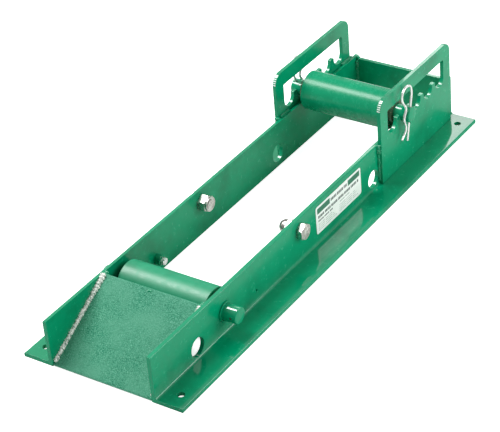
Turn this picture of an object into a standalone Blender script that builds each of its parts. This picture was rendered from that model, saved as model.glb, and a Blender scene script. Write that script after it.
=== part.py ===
"""Cable reel roller: two steel angle rails that carry a loading ramp, a fixed front roller and a rear
roller whose axle drops into a choice of notches. Metres, +Z up, -Y is the ramp end, +X the label side.
The origin is on the floor under the middle of the frame."""

import math
import random

import bmesh
import bpy
from mathutils import Matrix, Vector

MM = 0.001
GAP = 0.3 * MM                  # between neighbours that touch on the real thing

# Frame: two unequal steel angles, tall legs inboard, wide flanges outboard on the floor
FRAME_LENGTH = 845 * MM
RAIL_CLEAR_WIDTH = 169.3 * MM   # between the inner faces of the two legs
LEG_HEIGHT = 76.2 * MM
FLANGE_WIDTH = 50.8 * MM
STEEL = 6.35 * MM               # thickness of every plate and angle
ROOT_RADIUS = 4 * MM
TOE_RADIUS = 2.4 * MM

# Holes in the rails, measured from the ramp end
BIG_HOLE_RADIUS = 15 * MM
BIG_HOLE_HEIGHT = 24 * MM
BIG_HOLES_AT = (104 * MM, 587 * MM)
ANCHOR_RADIUS = 5.6 * MM
ANCHOR_FROM_END = 25.4 * MM
ANCHOR_FROM_EDGE = 20 * MM

# Loading ramp
RAMP_RUN = 133 * MM
RAMP_TOP = 75 * MM
RAMP_LIP = 3 * MM
END_PLATE_HEIGHT = 72 * MM

# Rollers, alike front and rear
ROLLER_RADIUS = 31.75 * MM
ROLLER_WALL = 4.8 * MM
ROLLER_LENGTH = 150 * MM
AXLE_RADIUS = 12.7 * MM
AXLE_CHAMFER = 1.6 * MM
BUSHING_THICKNESS = 14 * MM
HUB_RADIUS = 18.5 * MM
FRONT_AXLE_AT, FRONT_AXLE_HEIGHT, FRONT_AXLE_LENGTH = 174 * MM, 39.5 * MM, 232 * MM
REAR_AXLE_LENGTH = 217 * MM
REAR_AXLE_SLID = 3.25 * MM      # the bar has slid to the right until its left clip meets the plate
WASHER_RADIUS, WASHER_THICKNESS = 16 * MM, 2.5 * MM
ROLL_PIN_RADIUS, ROLL_PIN_BORE, ROLL_PIN_FROM_END = 2.5 * MM, 1.3 * MM, 8 * MM

# Side plates with the notched adjusting slot
PLATE_FRONT, PLATE_REAR = 605 * MM, 830 * MM
PLATE_TOP = 151 * MM
PLATE_CORNER_RADIUS = 18 * MM
SLOT_TOP = 126.5 * MM
NOTCH_BOTTOM = 82.7 * MM
NOTCH_RADIUS = 14 * MM
NOTCH_PITCH = 38.1 * MM
NOTCH_COUNT = 5
FIRST_NOTCH = 641 * MM
TOOTH_TOP = 100 * MM
NOTCH_IN_USE = 1

# Hairpin clips through the rear axle
CLIP_WIRE = 2 * MM              # wire radius
CLIP_HOLE = 2.5 * MM
CLIP_FROM_END = 5.25 * MM
CLIP_STRAIGHT_END = -43.5 * MM  # the straight leg's tip, measured up from the axle's axis
# Name, side, lean of the straight leg back from upright, and whether the sprung leg is at the rear
CLIPS = (("left", -1, math.radians(-18), True), ("right", 1, math.radians(13), False))
# Loop and sprung leg, as (away from the straight leg, up from the axle's axis)
CLIP_SHAPE = ((0, 35), (2.2, 42), (6.5, 47.5), (13, 49.7), (21, 48.6), (27.5, 44.3), (30.6, 37.5), (29.3, 30),
              (25, 24), (19, 18.5), (14, 13.5), (13.6, 8.5), (15.9, 1.5), (16.3, -4.5), (13, -12), (8.6, -18.5),
              (8.2, -23.5), (11.6, -30), (18.6, -38.5))

# Guide bolts, stops and label
GUIDE_BOLT_AT, GUIDE_BOLT_HEIGHT, GUIDE_BOLT_RADIUS = 375 * MM, 54.7 * MM, 7.9 * MM
GUIDE_HEX, GUIDE_HEAD_HEIGHT = 23.8 * MM, 10 * MM
NUT_HEX_HEIGHT, NUT_DOME_RADIUS, NUT_HEIGHT = 15 * MM, 11.2 * MM, 28 * MM
STOP_AT, STOP_HEIGHT, STOP_HOLE_RADIUS = 253 * MM, 25 * MM, 2 * MM
STOP_BOSS_RADIUS, STOP_BOSS_LENGTH = 8 * MM, 10.5 * MM
STOP_HEX, STOP_HEAD_HEIGHT, STOP_SCREW_RADIUS = 10.5 * MM, 5 * MM, 3.5 * MM
HEX_STEPS = 24                  # points round a bolt or nut, a multiple of six
LABEL_FRONT, LABEL_REAR, LABEL_BOTTOM, LABEL_TOP = 418 * MM, 549 * MM, 20.5 * MM, 67.5 * MM
LABEL_THICKNESS, LABEL_CORNER = 0.4 * MM, 4 * MM

# Weld beads
BEAD_SIZE = 6.5 * MM
BEAD_STEP = 6 * MM

LEG_INNER = RAIL_CLEAR_WIDTH / 2
LEG_OUTER = LEG_INNER + STEEL
PLATE_INNER = LEG_OUTER + GAP
PLATE_OUTER = PLATE_INNER + STEEL
REAR_AXLE_AT = FIRST_NOTCH + NOTCH_IN_USE * NOTCH_PITCH
REAR_AXLE_HEIGHT = NOTCH_BOTTOM + AXLE_RADIUS + GAP
CLIP_X = REAR_AXLE_LENGTH / 2 - CLIP_FROM_END
SIDES = (("left", -1), ("right", 1))
ROUND_STEPS = 40


def along(distance):
    """World Y of a place given as its distance from the ramp end."""
    return distance - FRAME_LENGTH / 2


def clear_scene():
    for obj in list(bpy.data.objects):
        bpy.data.objects.remove(obj, do_unlink=True)


def finish(name, colour, roughness, metallic):
    """A plain Principled material for one kind of finish."""
    material = bpy.data.materials.get(name) or bpy.data.materials.new(name)
    material.use_nodes = True
    shader = material.node_tree.nodes["Principled BSDF"]
    shader.inputs["Base Color"].default_value = (*colour, 1)
    shader.inputs["Roughness"].default_value = roughness
    shader.inputs["Metallic"].default_value = metallic
    return material


def green_paint():
    return finish("green_paint", (0.0, 0.245, 0.105), 0.25, 0.0)


def grit_paint():
    return finish("grit_paint", (0.09, 0.33, 0.19), 0.75, 0.0)


def zinc():
    return finish("zinc_plate", (0.62, 0.62, 0.60), 0.28, 1.0)


def bronze():
    return finish("bushing_bronze", (0.45, 0.28, 0.13), 0.4, 1.0)


def label_vinyl():
    return finish("label_vinyl", (0.85, 0.87, 0.84), 0.4, 0.0)


def place(name, mesh_builder, material, location=(0, 0, 0), parent=None, smooth=True):
    """Turns a bmesh into a named object with one material."""
    bmesh.ops.recalc_face_normals(mesh_builder, faces=mesh_builder.faces)
    mesh = bpy.data.meshes.new(name)
    mesh_builder.to_mesh(mesh)
    mesh_builder.free()
    if smooth:
        mesh.shade_smooth()
        mesh.set_sharp_from_angle(angle=math.radians(35))
    mesh.materials.append(material)
    obj = bpy.data.objects.new(name, mesh)
    obj.location = location
    bpy.context.scene.collection.objects.link(obj)
    if parent:
        obj.parent = parent
        obj.matrix_parent_inverse = parent.matrix_world.inverted()
    return obj


def pivot(name, location):
    """An empty on a joint's axis, which the moving pieces are parented to."""
    empty = bpy.data.objects.new(name, None)
    empty.location = location
    bpy.context.scene.collection.objects.link(empty)
    bpy.context.view_layer.update()
    return empty


def as_cutter(obj):
    obj.hide_render = True
    obj.display_type = "WIRE"
    return obj


def boolean(obj, other, operation):
    modifier = obj.modifiers.new(operation.lower(), "BOOLEAN")
    modifier.operation = operation
    modifier.solver = "EXACT"
    modifier.object = other


def prism(outline, axis, start, end):
    """An outline extruded along X or Y. The outline holds the two other coordinates, in X, Y, Z order."""
    builder = bmesh.new()
    if axis == "X":
        corners = [builder.verts.new((start, u, v)) for u, v in outline]
        shift = Vector((end - start, 0, 0))
    else:
        corners = [builder.verts.new((u, start, v)) for u, v in outline]
        shift = Vector((0, end - start, 0))
    face = builder.faces.new(corners)
    extruded = bmesh.ops.extrude_face_region(builder, geom=[face])["geom"]
    moved = [item for item in extruded if isinstance(item, bmesh.types.BMVert)]
    bmesh.ops.translate(builder, vec=shift, verts=moved)
    return builder


def turned(profile, closed=True, steps=ROUND_STEPS):
    """A profile of (x, radius) points spun about the X axis. An open profile starts and ends on the axis."""
    builder = bmesh.new()
    points = [builder.verts.new((x, 0, radius)) for x, radius in profile]
    links = [builder.edges.new(pair) for pair in zip(points, points[1:])]
    if closed:
        links.append(builder.edges.new((points[-1], points[0])))
    bmesh.ops.spin(builder, geom=points + links, cent=(0, 0, 0), axis=(1, 0, 0),
                   angle=math.tau, steps=steps, use_duplicate=False)
    bmesh.ops.remove_doubles(builder, verts=builder.verts, dist=0.001 * MM)
    return builder


def rod(radius, length, direction=(1, 0, 0), steps=ROUND_STEPS, chamfer=0.0):
    """A solid cylinder about the origin, its axis along direction."""
    half = length / 2
    if chamfer:
        profile = ((-half, 0), (-half, radius - chamfer), (-half + chamfer, radius),
                   (half - chamfer, radius), (half, radius - chamfer), (half, 0))
    else:
        profile = ((-half, 0), (-half, radius), (half, radius), (half, 0))
    builder = turned(profile, closed=False, steps=steps)
    turn = Vector((1, 0, 0)).rotation_difference(Vector(direction)).to_matrix()
    bmesh.ops.rotate(builder, verts=builder.verts, cent=(0, 0, 0), matrix=turn)
    return builder


def arc(centre, radius, first, last, count):
    """Points on an arc from angle first to angle last, in degrees."""
    angles = (math.radians(first + (last - first) * i / count) for i in range(count + 1))
    return [(centre[0] + radius * math.cos(a), centre[1] + radius * math.sin(a)) for a in angles]


def mirrored(outline, side):
    """The outline for the left side (-1) is the right one's mirror image."""
    return [(side * u, v) for u, v in outline]


# The two rails

def angle_outline():
    """Cross-section of the right rail: leg up at the inboard side, flange out along the floor."""
    edge = LEG_INNER + FLANGE_WIDTH
    leg_toe = (LEG_OUTER - TOE_RADIUS, LEG_HEIGHT - TOE_RADIUS)
    flange_toe = (edge - TOE_RADIUS, STEEL - TOE_RADIUS)
    root = (LEG_OUTER + ROOT_RADIUS, STEEL + ROOT_RADIUS)
    return [(LEG_INNER, 0), (edge, 0), *arc(flange_toe, TOE_RADIUS, 0, 90, 3),
            *arc(root, ROOT_RADIUS, 270, 180, 5), *arc(leg_toe, TOE_RADIUS, 0, 90, 3),
            (LEG_INNER, LEG_HEIGHT)]


def cross_hole(name, radius, distance, height, low_x, high_x):
    """A hidden cutter along X, for a hole through one leg or both."""
    spot = ((low_x + high_x) / 2, along(distance), height)
    return as_cutter(place(name, rod(radius, high_x - low_x), green_paint(), spot))


def rail_cutters():
    """Every hole in the rails, as hidden cylinders."""
    beyond = LEG_OUTER + 10 * MM
    cutters = [cross_hole(f"cut_big_{i}", BIG_HOLE_RADIUS, at, BIG_HOLE_HEIGHT, -beyond, beyond)
               for i, at in enumerate(BIG_HOLES_AT)]
    cutters.append(cross_hole("cut_front_axle", AXLE_RADIUS + GAP, FRONT_AXLE_AT, FRONT_AXLE_HEIGHT,
                              -beyond, beyond))
    cutters.append(cross_hole("cut_guide_bolt", GUIDE_BOLT_RADIUS + GAP, GUIDE_BOLT_AT,
                              GUIDE_BOLT_HEIGHT, -beyond, beyond))
    cutters.append(cross_hole("cut_stop_hole", STOP_HOLE_RADIUS, STOP_AT, STOP_HEIGHT, -beyond, beyond))
    anchor_x = LEG_INNER + FLANGE_WIDTH - ANCHOR_FROM_EDGE
    for side_name, side in SIDES:
        for end_name, at in (("front", ANCHOR_FROM_END), ("rear", FRAME_LENGTH - ANCHOR_FROM_END)):
            cutter = place(f"cut_anchor_{end_name}_{side_name}",
                           rod(ANCHOR_RADIUS, 4 * STEEL, direction=(0, 0, 1), steps=24), green_paint(),
                           (side * anchor_x, along(at), STEEL / 2))
            cutters.append(as_cutter(cutter))
    return cutters


def make_rails():
    cutters = rail_cutters()
    for side_name, side in SIDES:
        outline = mirrored(angle_outline(), side)
        rail = place(f"rail_{side_name}", prism(outline, "Y", along(0), along(FRAME_LENGTH)),
                     green_paint())
        for cutter in cutters:
            if side * cutter.location.x >= 0:
                boolean(rail, cutter, "DIFFERENCE")


# Ramp and end plate

def make_ramp():
    """A plate that rises from the floor at the ramp end to the top of the legs."""
    slope = math.atan2(RAMP_TOP - RAMP_LIP, RAMP_RUN)
    down = (STEEL * math.sin(slope), -STEEL * math.cos(slope))
    start, top = along(0), (along(RAMP_RUN), RAMP_TOP)
    lower = (top[0] + down[0], top[1] + down[1])
    heel = lower[0] - lower[1] / math.tan(slope)
    nose = 1.2 * MM
    outline = [(start, 0), (heel, 0), (lower[0] - nose * math.cos(slope), lower[1] - nose * math.sin(slope)),
               (lower[0] - nose * math.sin(slope), lower[1] + nose * math.cos(slope)),
               (top[0] + nose * math.sin(slope), top[1] - nose * math.cos(slope)),
               (top[0] - nose * math.cos(slope), top[1] - nose * math.sin(slope)), (start, RAMP_LIP)]
    half = LEG_INNER - GAP
    place("ramp_plate", prism(outline, "X", -half, half), grit_paint(), smooth=False)
    return slope


def bead(start, end, corner_dirs, seed, size=BEAD_SIZE):
    """A lumpy fillet weld from start to end. corner_dirs point from the corner along its two walls."""
    draws = random.Random(seed)
    run = Vector(end) - Vector(start)
    count = max(4, round(run.length / BEAD_STEP))
    first_wall, second_wall = (Vector(d).normalized() for d in corner_dirs)
    builder = bmesh.new()
    rings = []
    for i in range(count + 1):
        centre = Vector(start) + run * (i / count)
        swell = size * (0.55 if i in (0, count) else draws.uniform(0.86, 1.04))
        spots = ((0, 0), (1, 0), (0.86, 0.44), (0.44, 0.86), (0, 1))
        rings.append([builder.verts.new(centre + first_wall * a * swell + second_wall * b * swell)
                      for a, b in spots])
    for lower, upper in zip(rings, rings[1:]):
        for j in range(len(lower)):
            k = (j + 1) % len(lower)
            builder.faces.new((lower[j], lower[k], upper[k], upper[j]))
    builder.faces.new(rings[0])
    builder.faces.new(list(reversed(rings[-1])))
    return builder


def make_ramp_welds(slope):
    """Beads in the corners between the ramp's upper face and the legs."""
    up_slope = Vector((0, math.cos(slope), math.sin(slope)))
    off_plate = Vector((0, -math.sin(slope), math.cos(slope)))
    base = Vector((0, along(0), RAMP_LIP)) + off_plate * GAP
    for side_name, side in SIDES:
        wall = Vector((side * (LEG_INNER - GAP), 0, 0))
        start = base + wall + up_slope * 8 * MM
        end = base + wall + up_slope * (RAMP_RUN / math.cos(slope) - 6 * MM)
        corner = ((-side, 0, 0), off_plate)
        place(f"ramp_weld_{side_name}", bead(start, end, corner, 3 + side), green_paint())


def make_end_plate():
    """The plate that ties the two legs together behind the rear roller."""
    half = LEG_INNER - GAP
    front, rear = along(FRAME_LENGTH - STEEL), along(FRAME_LENGTH)
    edge = 0.8 * MM
    outline = [(front, 2 * MM), (rear, 2 * MM), (rear, END_PLATE_HEIGHT - edge),
               (rear - edge, END_PLATE_HEIGHT), (front + edge, END_PLATE_HEIGHT),
               (front, END_PLATE_HEIGHT - edge)]
    place("end_plate", prism(outline, "X", -half, half), green_paint(), smooth=False)
    for side_name, side in SIDES:
        x = side * (LEG_INNER - GAP)
        corner = ((-side, 0, 0), (0, -1, 0))
        place(f"end_weld_{side_name}",
              bead((x, front - GAP, 6 * MM), (x, front - GAP, END_PLATE_HEIGHT - 2 * MM), corner, 11 + side),
              green_paint())


# Side plates

def plate_outline():
    """Outer edge of a side plate, as (y, z)."""
    front, rear = along(PLATE_FRONT), along(PLATE_REAR)
    radius = PLATE_CORNER_RADIUS
    high = PLATE_TOP - radius
    return [(front, STEEL + GAP), (rear, STEEL + GAP), *arc((rear - radius, high), radius, 0, 90, 8),
            *arc((front + radius, high), radius, 90, 180, 8)]


def slot_outline():
    """The adjusting slot: straight top, and a row of round-bottomed notches between short teeth."""
    middle = NOTCH_BOTTOM + NOTCH_RADIUS
    corner = 3 * MM
    tip = 1.6 * MM
    points = []
    for i in range(NOTCH_COUNT):
        centre = along(FIRST_NOTCH + i * NOTCH_PITCH)
        points += arc((centre, middle), NOTCH_RADIUS, 180, 360, 12)
        if i < NOTCH_COUNT - 1:
            rise, fall = centre + NOTCH_RADIUS, centre + NOTCH_PITCH - NOTCH_RADIUS
            points += arc((rise + tip, TOOTH_TOP - tip), tip, 180, 90, 2)
            points += arc((fall - tip, TOOTH_TOP - tip), tip, 90, 0, 2)
    rear, front = points[-1][0], points[0][0]
    points += arc((rear - corner, SLOT_TOP - corner), corner, 0, 90, 3)
    points += arc((front + corner, SLOT_TOP - corner), corner, 90, 180, 3)
    return points


def make_side_plates():
    """Plates welded to the outside of the legs. Each is a handle, and the notches hold the rear axle."""
    for side_name, side in SIDES:
        inner, outer = side * PLATE_INNER, side * PLATE_OUTER
        plate = place(f"side_plate_{side_name}", prism(plate_outline(), "X", inner, outer), green_paint())
        wide = side * 8 * MM
        slot = place(f"cut_slot_{side_name}", prism(slot_outline(), "X", inner - wide, outer + wide),
                     green_paint())
        boolean(plate, as_cutter(slot), "DIFFERENCE")
        x = side * (LEG_OUTER + GAP)
        relief = ROOT_RADIUS + 2 * GAP
        wedge = [(x - side * MM, STEEL - MM), (x + side * (relief + MM), STEEL - MM),
                 (x - side * MM, STEEL + relief + MM)]
        chamfer = place(f"cut_plate_foot_{side_name}",
                        prism(wedge, "Y", along(PLATE_FRONT) - MM, along(PLATE_REAR) + MM), green_paint())
        boolean(plate, as_cutter(chamfer), "DIFFERENCE")
        low, high = STEEL + ROOT_RADIUS + 1 * MM, LEG_HEIGHT - TOE_RADIUS - 1 * MM
        for end_name, at, way in (("front", PLATE_FRONT, -1), ("rear", PLATE_REAR, 1)):
            y = along(at) + way * GAP
            builder = bead((x, y, low), (x, y, high), ((side, 0, 0), (0, way, 0)), 20 + side + way,
                           size=BEAD_SIZE * 0.9)
            place(f"side_weld_{end_name}_{side_name}", builder, green_paint())


# Rollers and axles

def make_roller(place_name, centre, parent):
    """A steel tube on two pressed-in bushings, whose hubs keep it clear of the legs."""
    half, wall = ROLLER_LENGTH / 2, ROLLER_RADIUS - ROLLER_WALL
    edge = 1 * MM
    profile = ((-half, wall), (-half, ROLLER_RADIUS - edge), (-half + edge, ROLLER_RADIUS),
               (half - edge, ROLLER_RADIUS), (half, ROLLER_RADIUS - edge), (half, wall))
    place(f"{place_name}_roller_tube", turned(profile, steps=56), green_paint(), centre, parent)
    bore = AXLE_RADIUS + GAP
    outside = LEG_INNER - 0.6 * MM - half
    inset = 1.5 * MM
    for side_name, side in SIDES:
        points = ((-inset - BUSHING_THICKNESS, bore), (-inset - BUSHING_THICKNESS, wall - GAP),
                  (-inset, wall - GAP), (-inset, HUB_RADIUS), (outside - edge, HUB_RADIUS),
                  (outside, HUB_RADIUS - edge), (outside, bore))
        profile = [(side * x, radius) for x, radius in points]
        spot = Vector(centre) + Vector((side * half, 0, 0))
        place(f"{place_name}_roller_bushing_{side_name}", turned(profile), bronze(), spot, parent)


def leaning(lean):
    """The way up along a straight leg that leans back by an angle."""
    return Vector((0, math.sin(lean), math.cos(lean)))


def make_axle(name, length, centre, parent, hole_radius, hole_x, directions):
    """A plain round bar with a cross-hole near each end."""
    axle = place(name, rod(AXLE_RADIUS, length, chamfer=AXLE_CHAMFER), green_paint(), centre, parent)
    for (side_name, side), direction in zip(SIDES, directions):
        spot = Vector(centre) + Vector((side * hole_x, 0, 0))
        cutter = place(f"cut_{name}_{side_name}",
                       rod(hole_radius, 4 * AXLE_RADIUS, direction=direction, steps=16),
                       green_paint(), spot, parent)
        boolean(axle, as_cutter(cutter), "DIFFERENCE")


def make_front_axle():
    """Fixed in the legs: a welded washer on each side, and a roll pin near each end."""
    centre = (0, along(FRONT_AXLE_AT), FRONT_AXLE_HEIGHT)
    pin_x = FRONT_AXLE_LENGTH / 2 - ROLL_PIN_FROM_END
    make_axle("front_axle", FRONT_AXLE_LENGTH, centre, None, ROLL_PIN_RADIUS + GAP, pin_x,
              ((0, 1, 0), (0, 1, 0)))
    for side_name, side in SIDES:
        inner, outer = side * (LEG_OUTER + GAP), side * (LEG_OUTER + GAP + WASHER_THICKNESS)
        bore = AXLE_RADIUS + GAP
        profile = ((inner, bore), (inner, WASHER_RADIUS), (outer, WASHER_RADIUS), (outer, bore))
        place(f"front_axle_washer_{side_name}", turned(profile), green_paint(), centre)
        half = AXLE_RADIUS - 0.4 * MM
        pin = turned(((-half, ROLL_PIN_BORE), (-half, ROLL_PIN_RADIUS), (half, ROLL_PIN_RADIUS),
                      (half, ROLL_PIN_BORE)), steps=16)
        bmesh.ops.rotate(pin, verts=pin.verts, cent=(0, 0, 0), matrix=Matrix.Rotation(math.pi / 2, 3, "Z"))
        place(f"front_axle_pin_{side_name}", pin, zinc(), (side * pin_x, centre[1], centre[2]))


def clip_points():
    """The hairpin's wire from the tip of its straight leg, as (away from that leg, up from the axle's axis)."""
    knots = [Vector((away * MM, up * MM)) for away, up in CLIP_SHAPE]
    points = [Vector((0, CLIP_STRAIGHT_END)), Vector((0, 0)), knots[0]]
    for i in range(len(knots) - 1):
        before, here = knots[max(i - 1, 0)], knots[i]
        there, after = knots[i + 1], knots[min(i + 2, len(knots) - 1)]
        for t in (0.5, 1.0):
            points.append(0.5 * (2 * here + (there - before) * t
                                 + (2 * before - 5 * here + 4 * there - after) * t ** 2
                                 + (3 * here - before - 3 * there + after) * t ** 3))
    return points


def make_clip(side_name, side, lean, at_rear, centre, parent):
    """A hairpin clip: one straight leg through the axle, one sprung leg round it."""
    curve = bpy.data.curves.new(f"rear_clip_{side_name}", "CURVE")
    curve.dimensions = "3D"
    curve.bevel_depth = CLIP_WIRE
    curve.bevel_resolution = 2
    curve.use_fill_caps = True
    curve.materials.append(zinc())
    points = clip_points()
    spline = curve.splines.new("POLY")
    spline.points.add(len(points) - 1)
    up = leaning(lean)
    away = Vector((0, up.z, -up.y)) * (1 if at_rear else -1)
    for point, (aside, height) in zip(spline.points, points):
        point.co = (*(away * aside + up * height), 1)
    clip = bpy.data.objects.new(f"rear_clip_{side_name}", curve)
    clip.location = Vector(centre) + Vector((side * CLIP_X, 0, 0))
    bpy.context.scene.collection.objects.link(clip)
    clip.parent = parent
    clip.matrix_parent_inverse = parent.matrix_world.inverted()


def make_rollers():
    front = (0, along(FRONT_AXLE_AT), FRONT_AXLE_HEIGHT)
    rear = (0, along(REAR_AXLE_AT), REAR_AXLE_HEIGHT)
    front_pivot, rear_pivot = pivot("front_roller_axis", front), pivot("rear_axle_axis", rear)
    make_front_axle()
    make_roller("front", front, front_pivot)
    slid = (REAR_AXLE_SLID, rear[1], rear[2])
    make_axle("rear_axle", REAR_AXLE_LENGTH, slid, rear_pivot, CLIP_HOLE, CLIP_X,
              [leaning(lean) for _, _, lean, _ in CLIPS])
    make_roller("rear", rear, rear_pivot)
    for side_name, side, lean, at_rear in CLIPS:
        make_clip(side_name, side, lean, at_rear, slid, rear_pivot)


# Bolts, nuts, stops and label

def loft(rings, ring=False):
    """A closed body through rings of points. It ends in flat caps, or joins up again as a ring."""
    builder = bmesh.new()
    loops = [[builder.verts.new(point) for point in points] for points in rings]
    pairs = list(zip(loops, loops[1:])) + ([(loops[-1], loops[0])] if ring else [])
    for here, there in pairs:
        for j in range(len(here)):
            k = (j + 1) % len(here)
            builder.faces.new((here[j], here[k], there[k], there[j]))
    if not ring:
        builder.faces.new(loops[0])
        builder.faces.new(loops[-1])
    return builder


def round_ring(x, radius):
    angles = (math.tau * i / HEX_STEPS for i in range(HEX_STEPS))
    return [(x, radius * math.sin(a), radius * math.cos(a)) for a in angles]


def hex_ring(x, across_flats, droop=0.0):
    """A hexagon about the X axis. droop moves its corners along X, as turning a chamfer does."""
    points = []
    for i in range(HEX_STEPS):
        angle = math.tau * i / HEX_STEPS
        reach = across_flats / 2 / math.cos(angle % (math.pi / 3) - math.pi / 6)
        shift = droop * (reach - across_flats / 2)
        points.append((x + shift, reach * math.sin(angle), reach * math.cos(angle)))
    return points


def hex_head(seat, out, across_flats, height):
    """Rings of a hex head from its seat to its chamfered face. out is the way it faces along X."""
    top = seat + out * height
    return [hex_ring(seat, across_flats),
            hex_ring(top - out * 0.4 * MM, across_flats, droop=-out * math.tan(math.radians(30))),
            round_ring(top, across_flats / 2 - 0.7 * MM)]


def bolt(seat, out, across_flats, head_height, radius, shank):
    """A hex-head bolt about the X axis, head on the out side of seat and shank on the other."""
    tip = seat - out * shank
    end = 0.8 * MM
    return loft([round_ring(tip, radius - end), round_ring(tip + out * end, radius),
                 round_ring(seat, radius), *hex_head(seat, out, across_flats, head_height)])


def make_guide_bolts():
    """A bolt through each leg with a domed nut inside, which keeps a reel's flange off the rails."""
    spot = (along(GUIDE_BOLT_AT), GUIDE_BOLT_HEIGHT)
    for side_name, side in SIDES:
        seat, face = side * (LEG_OUTER + GAP), side * (LEG_INNER - GAP)
        place(f"guide_bolt_{side_name}",
              bolt(seat, side, GUIDE_HEX, GUIDE_HEAD_HEIGHT, GUIDE_BOLT_RADIUS, STEEL + 18 * MM),
              zinc(), (0, *spot))
        bore = GUIDE_BOLT_RADIUS + GAP
        depth = face - side * 19 * MM
        dome_centre = face - side * (NUT_HEIGHT - NUT_DOME_RADIUS)
        dome = [round_ring(dome_centre - side * height, across)
                for across, height in arc((0, 0), NUT_DOME_RADIUS, 0, 84, 7)]
        rings = [round_ring(depth, bore), round_ring(face, bore),
                 *hex_head(face, -side, GUIDE_HEX, NUT_HEX_HEIGHT), *dome]
        place(f"guide_nut_{side_name}", loft(rings), zinc(), (0, *spot))


def make_stops():
    """A round boss welded low inside each leg, just behind the front roller, with a small screw in it."""
    spot = (along(STOP_AT), STOP_HEIGHT)
    for side_name, side in SIDES:
        face = side * (LEG_INNER - GAP)
        end = face - side * STOP_BOSS_LENGTH
        bore, edge = STOP_SCREW_RADIUS + GAP, 1 * MM
        rings = [round_ring(face, bore), round_ring(face, STOP_BOSS_RADIUS),
                 round_ring(end + side * edge, STOP_BOSS_RADIUS),
                 round_ring(end, STOP_BOSS_RADIUS - edge), round_ring(end, bore)]
        place(f"stop_boss_{side_name}", loft(rings, ring=True), green_paint(), (0, *spot))
        place(f"stop_screw_{side_name}",
              bolt(end - side * GAP, -side, STOP_HEX, STOP_HEAD_HEIGHT, STOP_SCREW_RADIUS,
                   STOP_BOSS_LENGTH - 1 * MM), zinc(), (0, *spot))


def make_label():
    """A rounded vinyl label on the outside of the right leg."""
    front, rear = along(LABEL_FRONT) + LABEL_CORNER, along(LABEL_REAR) - LABEL_CORNER
    low, high = LABEL_BOTTOM + LABEL_CORNER, LABEL_TOP - LABEL_CORNER
    outline = [*arc((rear, low), LABEL_CORNER, 270, 360, 4), *arc((rear, high), LABEL_CORNER, 0, 90, 4),
               *arc((front, high), LABEL_CORNER, 90, 180, 4), *arc((front, low), LABEL_CORNER, 180, 270, 4)]
    inner = LEG_OUTER + GAP
    place("label", prism(outline, "X", inner, inner + LABEL_THICKNESS), label_vinyl(), smooth=False)


clear_scene()
make_rails()
make_ramp_welds(make_ramp())
make_end_plate()
make_side_plates()
make_rollers()
make_guide_bolts()
make_stops()
make_label()
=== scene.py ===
"""The finished look of the cable reel roller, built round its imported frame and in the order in
which it is welded up. Metres, +Z up, the ramp at -Y and the label on the +X side."""

import math

import bmesh
import bpy
from mathutils import Matrix, Vector


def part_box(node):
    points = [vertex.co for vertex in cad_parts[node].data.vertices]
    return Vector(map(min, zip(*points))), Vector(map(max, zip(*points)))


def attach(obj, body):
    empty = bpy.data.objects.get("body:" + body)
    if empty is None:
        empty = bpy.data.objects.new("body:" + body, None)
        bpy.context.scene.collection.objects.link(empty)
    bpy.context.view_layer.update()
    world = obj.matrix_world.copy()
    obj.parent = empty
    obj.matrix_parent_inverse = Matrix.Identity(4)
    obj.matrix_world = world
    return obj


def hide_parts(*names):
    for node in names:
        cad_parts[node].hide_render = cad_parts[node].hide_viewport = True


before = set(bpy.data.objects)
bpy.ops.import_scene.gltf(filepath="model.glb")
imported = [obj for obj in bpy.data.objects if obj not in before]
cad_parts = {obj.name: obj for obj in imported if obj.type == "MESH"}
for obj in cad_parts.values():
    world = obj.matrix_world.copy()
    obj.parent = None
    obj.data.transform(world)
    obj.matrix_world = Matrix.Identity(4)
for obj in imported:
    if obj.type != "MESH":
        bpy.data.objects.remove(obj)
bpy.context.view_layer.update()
MM = 0.001

# --- Rails -------------------------------------------------------------------------------------
# Two lengths of 3 x 2 x 1/4 inch hot-rolled steel angle, the tall legs inboard and the flanges on
# the floor. Legs and flanges are drilled, and the whole frame is sprayed with green enamel.

STEEL = 6.35 * MM
rail_low, rail_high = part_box("rail_right")
leg_outer = rail_low.x + STEEL
PAST = 5 * MM  # How far a cutter reaches past the steel that it cuts


def select_only(piece):
    bpy.ops.object.select_all(action="DESELECT")
    piece.select_set(True)
    bpy.context.view_layer.objects.active = piece


def block(low, high):
    """A new cube from corner to corner, with its place in its mesh."""
    bpy.ops.object.select_all(action="DESELECT")
    low, high = Vector(low), Vector(high)
    bpy.ops.mesh.primitive_cube_add(size=1, location=(low + high) / 2, scale=high - low)
    bpy.ops.object.transform_apply(location=True, rotation=True, scale=True)
    return bpy.context.object


def rod(start, end, radius, sides=64):
    """A new cylinder from point to point, with its place in its mesh."""
    bpy.ops.object.select_all(action="DESELECT")
    start, end = Vector(start), Vector(end)
    turn = (end - start).to_track_quat("Z", "Y").to_euler()
    bpy.ops.mesh.primitive_cylinder_add(vertices=sides, radius=radius,
                                        depth=(end - start).length,
                                        location=(start + end) / 2, rotation=turn)
    bpy.ops.object.transform_apply(location=True, rotation=True, scale=True)
    return bpy.context.object


def pick(piece, kind, wanted):
    """In edit mode, selects the faces or edges that are wanted, by middle and direction."""
    bpy.ops.mesh.select_mode(type=kind)
    bpy.ops.mesh.select_all(action="DESELECT")
    mesh = bmesh.from_edit_mesh(piece.data)
    if kind == "FACE":
        found = [face for face in mesh.faces if wanted(face.calc_center_median(), face.normal)]
    else:
        found = [edge for edge in mesh.edges
                 if wanted((edge.verts[0].co + edge.verts[1].co) / 2,
                           edge.verts[1].co - edge.verts[0].co)]
    for element in found:
        element.select_set(True)
    bmesh.update_edit_mesh(piece.data)


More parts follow.
